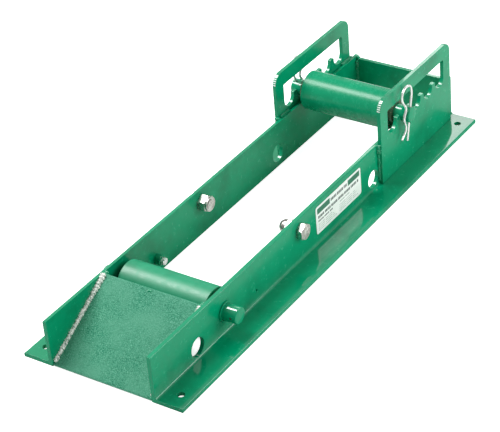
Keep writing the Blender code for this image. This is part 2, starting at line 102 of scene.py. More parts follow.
def round_off(piece, wanted, width, segments):
    """Bevels the wanted edges, from object mode."""
    select_only(piece)
    bpy.ops.object.mode_set(mode="EDIT")
    pick(piece, "EDGE", wanted)
    bpy.ops.mesh.bevel(offset=width, segments=segments, profile=0.5, affect="EDGES")
    bpy.ops.object.mode_set(mode="OBJECT")


def shape_with(piece, kind, **settings):
    """Adds a modifier and applies it."""
    select_only(piece)
    modifier = piece.modifiers.new(kind.lower(), kind)
    for setting, value in settings.items():
        setattr(modifier, setting, value)
    bpy.ops.object.modifier_apply(modifier=modifier.name)


def cut(piece, cutter, operation="DIFFERENCE"):
    """Cuts a piece with another, or joins the two, and uses the other up."""
    shape_with(piece, "BOOLEAN", object=cutter, operation=operation, solver="EXACT")
    bpy.data.objects.remove(cutter, do_unlink=True)


def dress_edges(piece, width, segments=2):
    """A small round on every sharp edge, with the flat faces kept flat."""
    select_only(piece)
    bpy.ops.object.shade_smooth()
    shape_with(piece, "BEVEL", width=width, segments=segments, limit_method="ANGLE",
               angle_limit=math.radians(38), harden_normals=True, use_clamp_overlap=True)


def other_side(piece):
    """A mirror image of a piece, across the middle of the frame."""
    twin = piece.copy()
    twin.data = piece.data.copy()
    bpy.context.scene.collection.objects.link(twin)
    twin.data.transform(Matrix.Scale(-1, 4, (1, 0, 0)))
    twin.data.flip_normals()
    return twin


def fit(piece, name, body, slot, material, *nodes):
    """Names a finished piece, paints it and joins it to the frame."""
    piece.name = name
    piece.data.materials.clear()
    piece.data.materials.append(material)
    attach(piece, body)
    if nodes:
        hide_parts(*nodes)


def wire(tree, kind, settings=(), **sockets):
    """Adds a shader node. A socket, by name or as i0, i1..., takes a value or an output."""
    node = tree.nodes.new(kind)
    for setting, value in settings:
        setattr(node, setting, value)
    for label, value in sockets.items():
        by_number = label[0] == "i" and label[1:].isdigit()
        socket = node.inputs[int(label[1:]) if by_number else label]
        if isinstance(value, bpy.types.NodeSocket):
            tree.links.new(value, socket)
        else:
            socket.default_value = value
    return node


def noise(tree, place, scale, detail, roughness):
    """Clouds of noise over the piece, as a grey value."""
    return wire(tree, "ShaderNodeTexNoise", Vector=place, Scale=scale, Detail=detail,
                Roughness=roughness).outputs["Fac"]


def mix(tree, share, first, second):
    """The first colour, with a share of the second laid over it."""
    return wire(tree, "ShaderNodeMix", [("data_type", "RGBA")], i0=share, i6=first,
                i7=second).outputs[2]


def bump(tree, strength, distance, height, **under):
    """A surface raised and sunk by a height. Normal= is the bump that it lies over."""
    return wire(tree, "ShaderNodeBump", Strength=strength, Distance=distance, Height=height,
                **under).outputs["Normal"]


def new_material(name):
    """A material, its node tree, its shader and the object coordinates to pattern it by."""
    material = bpy.data.materials.new(name)
    material.use_nodes = True
    tree = material.node_tree
    place = tree.nodes.new("ShaderNodeTexCoord").outputs["Object"]
    return material, tree, tree.nodes["Principled BSDF"], place


def ramp(tree, value, *stops):
    """A colour ramp from (position, colour) stops. A plain number is a grey."""
    node = tree.nodes.new("ShaderNodeValToRGB")
    tree.links.new(value, node.inputs["Fac"])
    elements = node.color_ramp.elements
    while len(elements) < len(stops):
        elements.new(0.5)
    for element, (position, colour) in zip(elements, stops):
        element.position = position
        element.color = (*(colour if isinstance(colour, tuple) else (colour,) * 3), 1)
    return node.outputs["Color"]


def painted_edge_highlight(tree, place, radius, reach):
    """A painted highlight's mask: white on rounded edges, broken by noise, and black on the flats.
    """
    bent = wire(tree, "ShaderNodeBevel", [("samples", 4)], Radius=radius).outputs["Normal"]
    flat = wire(tree, "ShaderNodeNewGeometry").outputs["Normal"]
    match = wire(tree, "ShaderNodeVectorMath", [("operation", "DOT_PRODUCT")], i0=bent,
                 i1=flat).outputs["Value"]
    patches = noise(tree, place, 160, 4, 0.65)
    edge = ramp(tree, match, (0.90, 1.0), (0.995, 0.0))
    broken = ramp(tree, patches, (0.5 - reach, 0.0), (0.62 - reach, 1.0))
    return wire(tree, "ShaderNodeMath", [("operation", "MULTIPLY")], i0=edge,
                i1=broken).outputs["Value"]


GREEN_DEEP, GREEN, GREEN_THIN = (0.0, 0.200, 0.090), (0.0, 0.285, 0.132), (0.0, 0.320, 0.150)
GREEN_LIGHT = (0.004, 0.400, 0.200)


def enamel(name, gloss=0.16, grain=0.05, grain_scale=260, edge_highlight_reach=0.0,
           edge_highlight_colour=GREEN_LIGHT):
    """Sprayed gloss enamel: uneven coat, orange peel, dust nibs and thin painted edge highlights.
    """
    material, tree, shader, place = new_material(name)
    drift = noise(tree, place, 9, 3, 0.6)
    mottle = noise(tree, place, 95, 5, 0.7)
    coat = ramp(tree, drift, (0.30, GREEN_DEEP), (0.48, GREEN), (0.75, GREEN_THIN))
    nibs = ramp(tree, mottle, (0.50, 0.0), (0.95, 0.8))
    speckled = mix(tree, nibs, coat, (*GREEN_LIGHT, 1))
    # Rounded edges get a lighter green, a painted highlight, broken up by noise
    edge = painted_edge_highlight(tree, place, 0.9 * MM, edge_highlight_reach)
    tree.links.new(mix(tree, edge, speckled, (*edge_highlight_colour, 1)), shader.inputs["Base Color"])
    haze = ramp(tree, mottle, (0.35, gloss), (0.70, gloss + 0.14))
    tree.links.new(haze, shader.inputs["Roughness"])
    peel = noise(tree, place, grain_scale, 2, 0.5)
    fine = noise(tree, place, 1500, 2, 0.5)
    skin = bump(tree, grain, 0.6 * MM, peel)
    skin = bump(tree, grain * 0.6, 0.1 * MM, fine, Normal=skin)
    tree.links.new(skin, shader.inputs["Normal"])
    # The paint flows out to a thicker, glossier coat on faces that lie level
    facing = wire(tree, "ShaderNodeTexCoord").outputs["Normal"]
    level = wire(tree, "ShaderNodeSeparateXYZ", Vector=facing).outputs["Z"]
    tree.links.new(ramp(tree, level, (0.55, 0.04), (0.90, 1.0)), shader.inputs["Coat Weight"])
    shader.inputs["Coat Roughness"].default_value = 0.04
    shader.inputs["Coat IOR"].default_value = 1.75
    shader.inputs["Specular IOR Level"].default_value = 0.18
    return material


def hole_through_leg(piece, y, z, radius):
    cut(piece, rod((rail_low.x - PAST, y, z), (leg_outer + PAST, y, z), radius))


rail = block(rail_low, (rail_high.x, rail_high.y, rail_low.z + STEEL))
select_only(rail)
bpy.ops.object.mode_set(mode="EDIT")
bpy.ops.mesh.select_all(action="SELECT")
bpy.ops.mesh.bisect(plane_co=(leg_outer, 0, 0), plane_no=(1, 0, 0))
pick(rail, "FACE", lambda middle, normal: normal.z > 0.9 and middle.x < leg_outer)
leg_rise = (0, 0, rail_high.z - rail_low.z - STEEL)
bpy.ops.mesh.extrude_region_move(TRANSFORM_OT_translate={"value": leg_rise})
bpy.ops.object.mode_set(mode="OBJECT")


def runs_at(x, z):
    """Picks the edge of the rail that runs along it at this place."""
    return lambda middle, along: (abs(along.y) > 0.5 and abs(middle.x - x) < MM
                                  and abs(middle.z - z) < MM)


root_radius, toe_radius = 4.5 * MM, 2.2 * MM
round_off(rail, runs_at(leg_outer, STEEL), root_radius, 6)
at_leg_top, at_flange_toe = runs_at(leg_outer, rail_high.z), runs_at(rail_high.x, STEEL)
round_off(rail, lambda middle, along: at_leg_top(middle, along) or at_flange_toe(middle, along),
          toe_radius, 4)

axle_low, axle_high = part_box("front_axle")
front_axis = (axle_low + axle_high) / 2
axle_radius = (axle_high.z - axle_low.z) / 2
hole_through_leg(rail, front_axis.y, front_axis.z, axle_radius + 0.3 * MM)
hole_height, hole_radius = 24 * MM, 15 * MM
for from_ramp_end in (104 * MM, 587 * MM):
    hole_through_leg(rail, rail_low.y + from_ramp_end, hole_height, hole_radius)
bolt_low, bolt_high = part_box("guide_bolt_right")
bolt_axis = (bolt_low + bolt_high) / 2
bolt_hole_radius, stop_hole_radius = 8.2 * MM, 2 * MM
hole_through_leg(rail, bolt_axis.y, bolt_axis.z, bolt_hole_radius)
boss_low, boss_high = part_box("stop_boss_right")
boss_axis = (boss_low + boss_high) / 2
hole_through_leg(rail, boss_axis.y, boss_axis.z, stop_hole_radius)
anchor_from_end, anchor_from_toe, anchor_radius = 25.4 * MM, 20 * MM, 5.6 * MM
for y in (rail_low.y + anchor_from_end, rail_high.y - anchor_from_end):
    x = rail_high.x - anchor_from_toe
    cut(rail, rod((x, y, -PAST), (x, y, STEEL + PAST), anchor_radius, 48))
left_rail = other_side(rail)
frame_paint = enamel("green_enamel_on_angle", edge_highlight_reach=0.06)
for piece, side in ((rail, "right"), (left_rail, "left")):
    dress_edges(piece, 0.5 * MM)
    fit(piece, f"angle_rail_{side}", "frame", "green_paint", frame_paint, f"rail_{side}")

# --- Loading ramp ------------------------------------------------------------------------------
# A 1/4 inch plate set between the legs from the floor to the front roller, so that a reel can be
# rolled up. Its face is painted with grit in the paint. It is welded to both legs along its sides.

ramp_low, ramp_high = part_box("ramp_plate")
lip, ramp_rise, ramp_length = 3 * MM, 75 * MM, 133 * MM
slope = math.atan2(ramp_rise - lip, ramp_length)
up_ramp = Vector((0, math.cos(slope), math.sin(slope)))
off_ramp = Vector((0, -math.sin(slope), math.cos(slope)))
ramp_foot = Vector((0, rail_low.y, lip))
ramp_run = ramp_length / math.cos(slope)

plate = block((ramp_low.x, 0, -STEEL), (ramp_high.x, ramp_run, 0))
plate.data.transform(Matrix.Translation(ramp_foot) @ Matrix.Rotation(slope, 4, "X"))
select_only(plate)
bpy.ops.object.mode_set(mode="EDIT")
bpy.ops.mesh.select_all(action="SELECT")
bpy.ops.mesh.bisect(plane_co=(0, 0, rail_low.z), plane_no=(0, 0, 1), use_fill=True,
                    clear_inner=True)
bpy.ops.mesh.select_all(action="SELECT")
bpy.ops.mesh.bisect(plane_co=(0, rail_low.y, 0), plane_no=(0, 1, 0), use_fill=True,
                    clear_inner=True)
bpy.ops.object.mode_set(mode="OBJECT")
dress_edges(plate, 1.1 * MM, 3)

# The grit is a separate skin, a fraction of a millimetre over the plate
bpy.ops.object.select_all(action="DESELECT")
bpy.ops.mesh.primitive_grid_add(x_subdivisions=210, y_subdivisions=190, size=1)
grit = bpy.context.object
margin, side_gap = 1.5 * MM, 0.5 * MM
grit_width = ramp_high.x - ramp_low.x - side_gap
grit.data.transform(Matrix.Translation(ramp_foot + off_ramp * 0.10 * MM)
                    @ Matrix.Rotation(slope, 4, "X")
                    @ Matrix.Translation((0, ramp_run / 2, 0))
                    @ Matrix.Diagonal((grit_width, ramp_run - 2 * margin, 1, 1)))
grains = bpy.data.textures.new("grit_grains", "STUCCI")
grains.noise_scale = 2.2 * MM
grains.turbulence = 4
shape_with(grit, "DISPLACE", texture=grains, texture_coords="LOCAL", strength=0.55 * MM,
           mid_level=0.35)
shape_with(grit, "SOLIDIFY", thickness=0.5 * MM, offset=-1)
select_only(grit)
bpy.ops.object.shade_smooth()


def gritty_enamel():
    """Non-slip enamel: coarse grains under a dry, milky green coat."""
    material, tree, shader, place = new_material("gritty_green_enamel")
    grain = wire(tree, "ShaderNodeTexVoronoi", Vector=place, Scale=900).outputs["Distance"]
    clumps = noise(tree, place, 620, 5, 0.75)
    drift = noise(tree, place, 14, 3, 0.6)
    base = ramp(tree, clumps, (0.38, (0.0, 0.120, 0.058)), (0.50, (0.022, 0.265, 0.148)),
                (0.62, (0.150, 0.480, 0.320)))
    patch = ramp(tree, drift, (0.38, 0.0), (0.62, 0.75))
    tree.links.new(mix(tree, patch, base, (0.085, 0.350, 0.220, 1)), shader.inputs["Base Color"])
    tree.links.new(ramp(tree, clumps, (0.4, 0.80), (0.7, 0.55)), shader.inputs["Roughness"])
    coarse = bump(tree, 0.75, 0.5 * MM, clumps)
    tree.links.new(bump(tree, 0.5, 0.3 * MM, grain, Normal=coarse), shader.inputs["Normal"])
    shader.inputs["Specular IOR Level"].default_value = 0.35
    return material


grit_paint = gritty_enamel()
fit(plate, "ramp_plate_painted", "frame", "grit_paint", grit_paint, "ramp_plate")
fit(grit, "ramp_grit_skin", "frame", "grit_paint", grit_paint)


def weld(start, end, first_wall, second_wall, size, lumps):
    """One run of weld: ripples melted into a bead, in the corner that two walls face into."""
    ripple, sink = 0.62, 0.16
    start, end = Vector(start), Vector(end)
    run = end - start
    step = ripple * size
    bite = (Vector(first_wall) + Vector(second_wall)) * size * sink
    turn = run.to_track_quat("Z", "Y").to_euler()
    bpy.ops.object.select_all(action="DESELECT")
    bpy.ops.mesh.primitive_uv_sphere_add(segments=20, ring_count=12, radius=size * ripple,
                                         location=start + bite, rotation=turn,
                                         scale=(1, 1, ripple))
    bpy.ops.object.transform_apply(location=True, rotation=True, scale=True)
    bead = bpy.context.object
    shape_with(bead, "ARRAY", count=max(2, 1 + round(run.length / step)),
               use_relative_offset=False, use_constant_offset=True,
               constant_offset_displace=run.normalized() * step)
    shape_with(bead, "REMESH", mode="VOXEL", voxel_size=0.55 * MM)
    rough = bpy.data.textures.new("weld_lumps", "CLOUDS")
    rough.noise_scale = 4.5 * MM
    shape_with(bead, "DISPLACE", texture=rough, texture_coords="LOCAL", strength=2 * lumps,
               mid_level=0.5)
    select_only(bead)
    bpy.ops.object.shade_smooth()
    return bead


# A pale green is painted along the beads' rounded edges as a highlight
weld_paint = enamel("green_enamel_on_weld", gloss=0.10, grain=0.28, grain_scale=420,
                    edge_highlight_reach=0.10, edge_highlight_colour=(0.30, 0.62, 0.46))
# Paint rubbed off the bead in grey patches, with near-white specks painted on as glints
bare_weld_and_glints, tree, shader, place = new_material("weld_rubbed_bare_with_painted_glints")
blotch = noise(tree, place, 330, 5, 0.7)
tree.links.new(ramp(tree, blotch, (0.36, (0.004, 0.185, 0.085)), (0.42, (0.36, 0.46, 0.40)),
                    (0.50, (0.95, 0.96, 0.90))), shader.inputs["Base Color"])
tree.links.new(ramp(tree, blotch, (0.42, 0.0), (0.60, 0.15)), shader.inputs["Metallic"])
tree.links.new(ramp(tree, blotch, (0.40, 0.18), (0.60, 0.40)), shader.inputs["Roughness"])
tree.links.new(bump(tree, 0.4, 0.4 * MM, blotch), shader.inputs["Normal"])

for side, out in (("left", -1), ("right", 1)):
    foot = ramp_foot + Vector((out * ramp_high.x, 0, 0))
    inboard = (-out, 0, 0)
    bead = weld(foot + up_ramp * 7 * MM, foot + up_ramp * (ramp_run - 4 * MM),
                inboard, off_ramp, 6.4 * MM, 1.1 * MM)
    fit(bead, f"ramp_bead_{side}", "frame", "green_paint", bare_weld_and_glints, f"ramp_weld_{side}")
    # The left bead was finished with a second, fatter pass
    if side == "left":
        curl = weld(foot + up_ramp * (ramp_run - 34 * MM), foot + up_ramp * (ramp_run - 3 * MM),
                    inboard, off_ramp, 8.0 * MM, 1.2 * MM)
        fit(curl, "ramp_bead_left_top", "frame", "green_paint", bare_weld_and_glints)
    tack = weld(foot + up_ramp * (ramp_run - 5 * MM) - off_ramp * MM,
                foot + up_ramp * (ramp_run + 0.5 * MM) - off_ramp * 4 * MM,
                inboard, off_ramp, 6.5 * MM, 1.2 * MM)
    fit(tack, f"ramp_tack_{side}", "frame", "green_paint", weld_paint)

# A drip of weld spatter stuck to the ramp's face near its top edge
spot = ramp_foot + Vector((-2 * MM, 0, 0)) + up_ramp * 146.5 * MM
half = Vector((2.2 * MM, 0, 0))
spatter = weld(spot - half, spot + half, off_ramp * -0.4, up_ramp * 0.2, 3.6 * MM, 0.8 * MM)
fit(spatter, "ramp_spatter", "frame", "green_paint", weld_paint)

# --- Rear end plate ----------------------------------------------------------------------------
# A strip of the same plate on edge between the ends of the rails. It keeps them square and is
# welded up both inside corners and tacked at the top.

end_low, end_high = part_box("end_plate")
strip = block(end_low, end_high)
dress_edges(strip, 0.8 * MM, 3)
end_paint = enamel("green_enamel_on_plate", edge_highlight_reach=0.06)
fit(strip, "rear_end_plate", "frame", "green_paint", end_paint, "end_plate")
for side, out in (("left", -1), ("right", 1)):
    x = out * end_high.x
    bead = weld((x, end_low.y, 8 * MM), (x, end_low.y, end_high.z - 6 * MM),
                (-out, 0, 0), (0, -1, 0), 5.6 * MM, 1.0 * MM)
    fit(bead, f"end_plate_bead_{side}", "frame", "green_paint", weld_paint, f"end_weld_{side}")
    tack = weld((x, end_low.y + MM, end_high.z), (x, end_high.y - 1.5 * MM, end_high.z),
                (-out, 0, 0), (0, 0, 1), 5.5 * MM, 1.0 * MM)
    fit(tack, f"end_plate_tack_{side}", "frame", "green_paint", weld_paint)

# --- Notched side plates -----------------------------------------------------------------------
# Flame-cut 1/4 inch plates welded outside the legs. The slot is a hand grip along its top, and the
# five notches along its bottom take the rear axle. The cut edges keep their drag lines under paint.

plate_low, plate_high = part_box("side_plate_right")
slot_top, notch_bottom, notch_radius, tooth_top = 126.5 * MM, 82.7 * MM, 14 * MM, 100 * MM
first_notch, notch_pitch, rim = 641 * MM, 38.1 * MM, 18 * MM
notches = [rail_low.y + first_notch + notch_pitch * number for number in range(5)]
notch_middle = notch_bottom + notch_radius
inner_x, outer_x = plate_low.x - PAST, plate_high.x + PAST

side_plate = block(plate_low, plate_high)
round_off(side_plate,
          lambda middle, along: abs(along.x) > MM and abs(middle.z - plate_high.z) < MM, rim, 14)
cut(side_plate, block((inner_x, notches[0] - notch_radius, tooth_top),
                      (outer_x, notches[-1] + notch_radius, slot_top)))
for y in notches:
    cut(side_plate, block((inner_x, y - notch_radius, notch_middle),
                          (outer_x, y + notch_radius, tooth_top + PAST)))
    cut(side_plate, rod((inner_x, y, notch_middle), (outer_x, y, notch_middle), notch_radius, 72))
select_only(side_plate)
bpy.ops.object.mode_set(mode="EDIT")
bpy.ops.mesh.select_all(action="SELECT")
bpy.ops.mesh.remove_doubles(threshold=0.02 * MM)
bpy.ops.object.mode_set(mode="OBJECT")


def through_plate(height, first_y, last_y):
    """Picks the edges that run through the plate at one height, between two places along it."""
    return lambda middle, along: (abs(along.x) > 5 * MM and abs(along.y) < MM
                                  and abs(along.z) < MM and abs(middle.z - height) < 0.1 * MM
                                  and first_y < middle.y < last_y)


tooth_radius, slot_corner = 1.6 * MM, 3 * MM
round_off(side_plate, through_plate(tooth_top, notches[0], notches[-1]), tooth_radius, 4)
round_off(side_plate, through_plate(slot_top, notches[0] - 15 * MM, notches[-1] + 15 * MM),
          slot_corner, 6)
left_plate = other_side(side_plate)


def flame_cut_enamel():
    """The plates' enamel, with drag lines across the cut edges and none on the faces."""
    material = enamel("green_enamel_on_cut_plate", grain=0.09, edge_highlight_reach=0.08)
    tree = material.node_tree
    shader = tree.nodes["Principled BSDF"]
    old = shader.inputs["Normal"].links[0].from_socket
    spots = tree.nodes.new("ShaderNodeTexCoord").outputs
    turned = wire(tree, "ShaderNodeSeparateXYZ", Vector=spots["Normal"]).outputs["X"]
    flat = wire(tree, "ShaderNodeMath", [("operation", "ABSOLUTE")], i0=turned).outputs["Value"]
    on_edge = ramp(tree, flat, (0.15, 1.0), (0.5, 0.0))
    stretch = wire(tree, "ShaderNodeMapping", Vector=spots["Object"],
                   Scale=(60, 900, 900)).outputs["Vector"]
    lines = noise(tree, stretch, 1, 3, 0.6)
    depth = wire(tree, "ShaderNodeMath", [("operation", "MULTIPLY")], i0=lines,
                 i1=on_edge).outputs["Value"]
    tree.links.new(bump(tree, 0.5, 0.7 * MM, depth, Normal=old), shader.inputs["Normal"])
    return material


plate_paint = flame_cut_enamel()
# The drag marks are rubbed bare, and their near-white is a painted highlight
drag_marks_bare_and_glints, tree, shader, place = new_material("drag_marks_bare_with_painted_highlight")
bare_and_glint_noise = noise(tree, place, 700, 4, 0.6)
tree.links.new(ramp(tree, bare_and_glint_noise, (0.34, (0.05, 0.40, 0.22)), (0.44, (0.86, 0.92, 0.88)),
                    (0.7, (0.97, 0.98, 0.97))), shader.inputs["Base Color"])
tree.links.new(ramp(tree, bare_and_glint_noise, (0.35, 0.4), (0.65, 0.22)), shader.inputs["Roughness"])
tree.links.new(bump(tree, 0.3, 0.2 * MM, bare_and_glint_noise), shader.inputs["Normal"])


def joined(pieces):
    """Makes one piece of several."""
    select_only(pieces[0])
    for piece in pieces:
        piece.select_set(True)
    bpy.ops.object.join()
    return pieces[0]


for piece, side, out in ((side_plate, "right", 1), (left_plate, "left", -1)):
    dress_edges(piece, 0.6 * MM)
    fit(piece, f"notched_plate_{side}", "frame", "green_paint", plate_paint, f"side_plate_{side}")
    x = out * plate_low.x
    for edge, y, way in (("front", plate_low.y, -1), ("rear", plate_high.y, 1)):
        bead = weld((x, y, 14 * MM), (x, y, rail_high.z - 14 * MM), (out, 0, 0), (0, way, 0),
                    4.2 * MM, 1.1 * MM)
        fit(bead, f"plate_bead_{edge}_{side}", "frame", "green_paint", weld_paint,
            f"side_weld_{edge}_{side}")
        lumps = weld((x, y, rail_high.z - 13 * MM), (x, y, rail_high.z - 2 * MM),
                     (out, 0, 0), (0, way, 0), 6.6 * MM, 2.4 * MM)
        fit(lumps, f"plate_lumps_{edge}_{side}", "frame", "green_paint", weld_paint)
    # Torch drag lines, rubbed bare with a painted highlight, step round the plate's front top
    # corner
    steps = []
    for number in range(6):
        angle = math.radians(8 + number * 11)
        middle = Vector((0, plate_low.y + rim - rim * math.cos(angle),
                         plate_high.z - rim + rim * math.sin(angle)))
        step = block((out * (plate_low.x + 0.6 * MM), -0.95 * MM, -0.3 * MM),
                     (out * (plate_high.x - 0.6 * MM), 0.95 * MM, 0.3 * MM))
        step.data.transform(Matrix.Translation(middle)
                            @ Matrix.Rotation(math.pi / 2 - angle, 4, "X"))
        steps.append(step)
    drag_marks = joined(steps)
    select_only(drag_marks)
    bpy.ops.object.mode_set(mode="EDIT")
    bpy.ops.mesh.select_all(action="SELECT")
    bpy.ops.mesh.normals_make_consistent(inside=False)
    bpy.ops.object.mode_set(mode="OBJECT")
    dress_edges(drag_marks, 0.2 * MM)
    fit(drag_marks, f"drag_marks_{side}", "frame", "green_paint", drag_marks_bare_and_glints)
    # Two short stitches hold the inside of the plate to the top of the leg
    for end, y in (("front", plate_low.y + 6 * MM), ("rear", plate_high.y - 28 * MM)):
        stitch = weld((x, y, rail_high.z), (x, y + 22 * MM, rail_high.z),
                      (-out, 0, 0), (0, 0, 1), 5 * MM, 1.0 * MM)
        fit(stitch, f"plate_stitch_{end}_{side}", "frame", "green_paint", weld_paint)

# --- Front axle --------------------------------------------------------------------------------
# A 1 inch steel bar fixed through both legs. A washer is tacked to each leg round it, and a bright
# roll pin is driven through each end. Bar and washers are painted with the frame.

bar_paint = enamel("green_enamel_on_bar", gloss=0.12, grain=0.12, grain_scale=420, edge_highlight_reach=0.10)
bar = rod((axle_low.x, front_axis.y, front_axis.z), (axle_high.x, front_axis.y, front_axis.z),
          axle_radius, 96)
pin_low, pin_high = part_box("front_axle_pin_right")
pin_x, pin_radius = (pin_low.x + pin_high.x) / 2, (pin_high.z - pin_low.z) / 2
bar_chamfer = 1.5 * MM
round_off(bar, lambda middle, along: abs(along.x) < MM, bar_chamfer, 3)
for out in (-1, 1):
    cut(bar, rod((out * pin_x, pin_low.y - 9 * MM, front_axis.z),
                 (out * pin_x, pin_high.y + 9 * MM, front_axis.z), pin_radius + 0.2 * MM, 32))
dress_edges(bar, 0.25 * MM)
fit(bar, "front_bar", "frame", "green_paint", bar_paint, "front_axle")


def plating(name, tint=(0.52, 0.50, 0.46), roughness=0.20, shine=1.0):
    """Zinc plate on steel: cloudy and finely scratched, with a painted highlight along its edges.
    """
    material, tree, shader, place = new_material(name)
    cloud = noise(tree, place, 170, 4, 0.6)
    dark = tuple(channel * 0.62 for channel in tint)
    colour = ramp(tree, cloud, (0.30, dark), (0.48, tint), (0.72, (0.84, 0.83, 0.79)))
    # Rounded edges get near-white, a painted highlight
    edge = painted_edge_highlight(tree, place, 0.5 * MM, 0.08)
    tree.links.new(mix(tree, edge, colour, (0.92, 0.92, 0.9, 1)), shader.inputs["Base Color"])
    tree.links.new(ramp(tree, cloud, (0.3, roughness), (0.7, roughness + 0.16)),
                   shader.inputs["Roughness"])
    scratch = noise(tree, place, 900, 3, 0.6)
    tree.links.new(bump(tree, 0.12, 0.1 * MM, scratch), shader.inputs["Normal"])
    shader.inputs["Metallic"].default_value = shine
    return material


bright_zinc = plating("bright_zinc")
washer_low, washer_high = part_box("front_axle_washer_right")
pin_bore, half_slit = 1.35 * MM, 0.4 * MM
for side, out in (("left", -1), ("right", 1)):
    washer = rod((out * washer_low.x, front_axis.y, front_axis.z),
                 (out * washer_high.x, front_axis.y, front_axis.z),
                 (washer_high.z - washer_low.z) / 2, 72)
    cut(washer, rod((out * (washer_low.x - MM), front_axis.y, front_axis.z),
                    (out * (washer_high.x + MM), front_axis.y, front_axis.z),
                    axle_radius + 0.25 * MM, 72))
    dress_edges(washer, 0.5 * MM)
    fit(washer, f"bar_washer_{side}", "frame", "green_paint", bar_paint,
        f"front_axle_washer_{side}")
    pin = rod((out * pin_x, pin_low.y, front_axis.z), (out * pin_x, pin_high.y, front_axis.z),
              pin_radius, 32)
    cut(pin, rod((out * pin_x, pin_low.y - MM, front_axis.z),
                 (out * pin_x, pin_high.y + MM, front_axis.z), pin_bore, 24))
    # The slit that lets a roll pin spring
    cut(pin, block((out * pin_x - half_slit, pin_low.y - MM, front_axis.z),
                   (out * pin_x + half_slit, pin_high.y + MM, front_axis.z + 4 * MM)))
    dress_edges(pin, 0.2 * MM)
    fit(pin, f"roll_pin_{side}", "frame", "zinc_plate", bright_zinc, f"front_axle_pin_{side}")

# --- Rollers -----------------------------------------------------------------------------------
# Two lengths of 2 1/2 inch steel tube, painted, each on a pair of flanged bronze bushings pressed
# into its ends. The hubs keep the tube clear of the legs.


def roller_enamel(name, gloss, shine):
    """The rollers' enamel, without the thick level coat. Use has rubbed the front one satin."""
    material = enamel(name, gloss=gloss, grain=0.03, grain_scale=90)
    shader = material.node_tree.nodes["Principled BSDF"]
    material.node_tree.links.remove(shader.inputs["Coat Weight"].links[0])
    shader.inputs["Coat Weight"].default_value = 0.0
    shader.inputs["Specular IOR Level"].default_value = shine
    return material


roller_paints = {"front": roller_enamel("green_enamel_rubbed_satin", 0.38, 0.80),
                 "rear": roller_enamel("green_enamel_on_rear_roller", 0.20, 0.36)}
bronze, tree, shader, place = new_material("bearing_bronze")
pores = noise(tree, place, 420, 5, 0.7)
tree.links.new(ramp(tree, pores, (0.40, (0.004, 0.095, 0.045)), (0.52, (0.050, 0.085, 0.045)),
                    (0.66, (0.330, 0.300, 0.190))), shader.inputs["Base Color"])
tree.links.new(ramp(tree, pores, (0.35, 0.55), (0.7, 0.32)), shader.inputs["Roughness"])
tree.links.new(bump(tree, 0.25, 0.2 * MM, pores), shader.inputs["Normal"])
tree.links.new(ramp(tree, pores, (0.50, 0.0), (0.62, 0.8)), shader.inputs["Metallic"])

tube_wall, hub_radius, bush_sink = 4.8 * MM, 18.5 * MM, 1.5 * MM
for end, body in (("front", "front_roller"), ("rear", "rear_roller")):
    tube_low, tube_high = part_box(f"{end}_roller_tube")
    middle = (tube_low + tube_high) / 2
    y, z = middle.y, middle.z
    radius = (tube_high.z - tube_low.z) / 2
    tube = rod((tube_low.x, y, z), (tube_high.x, y, z), radius, 128)
    cut(tube, rod((tube_low.x - MM, y, z), (tube_high.x + MM, y, z), radius - tube_wall, 128))
    dress_edges(tube, 1.0 * MM, 3)
    fit(tube, f"{end}_roller", body, "green_paint", roller_paints[end], f"{end}_roller_tube")
    for side, out in (("left", -1), ("right", 1)):
        node = f"{end}_roller_bushing_{side}"
        bush_low, bush_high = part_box(node)
        far = max(abs(bush_low.x), abs(bush_high.x))
        near = min(abs(bush_low.x), abs(bush_high.x))
        seat = tube_high.x - bush_sink
        bush = rod((out * near, y, z), (out * seat, y, z), radius - tube_wall - 0.2 * MM, 96)
        hub = rod((out * (seat - 2 * MM), y, z), (out * far, y, z), hub_radius, 96)
        cut(bush, hub, "UNION")
        cut(bush, rod((out * (near - MM), y, z), (out * (far + MM), y, z),
                      axle_radius + 0.25 * MM, 96))
        dress_edges(bush, 0.6 * MM)
        fit(bush, f"{end}_bushing_{side}", body, "bushing_bronze", bronze, node)

# --- Rear axle ---------------------------------------------------------------------------------
# The same 1 inch bar, loose in the notches, with a cross-hole near each end for its clip.

rear_low, rear_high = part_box("rear_axle")
rear_axis = (rear_low + rear_high) / 2
clip_from_end, clip_hole_radius = 5.25 * MM, 2.4 * MM
clip_out = (rear_high.x - rear_low.x) / 2 - clip_from_end
# Side, direction outwards, how far the clip leans and whether it lies behind its straight leg
CLIPS = (("left", -1, math.radians(-18), True), ("right", 1, math.radians(13), False))
rear_bar = rod((rear_low.x, rear_axis.y, rear_axis.z), (rear_high.x, rear_axis.y, rear_axis.z),
               axle_radius, 96)
round_off(rear_bar, lambda middle, along: abs(along.x) < MM, bar_chamfer, 3)
for side, out, lean, behind in CLIPS:
    up = Vector((0, math.sin(lean), math.cos(lean)))
    centre = rear_axis + Vector((out * clip_out, 0, 0))
    cut(rear_bar, rod(centre - up * 25 * MM, centre + up * 25 * MM, clip_hole_radius, 32))
dress_edges(rear_bar, 0.25 * MM)
fit(rear_bar, "rear_bar", "rear_axle", "green_paint", bar_paint, "rear_axle")

# --- Hairpin clips -----------------------------------------------------------------------------
# 4 mm spring wire bent to a loop, plated bright. The straight leg goes through the axle and the
# waved leg springs round it. The left one is put in the other way round.

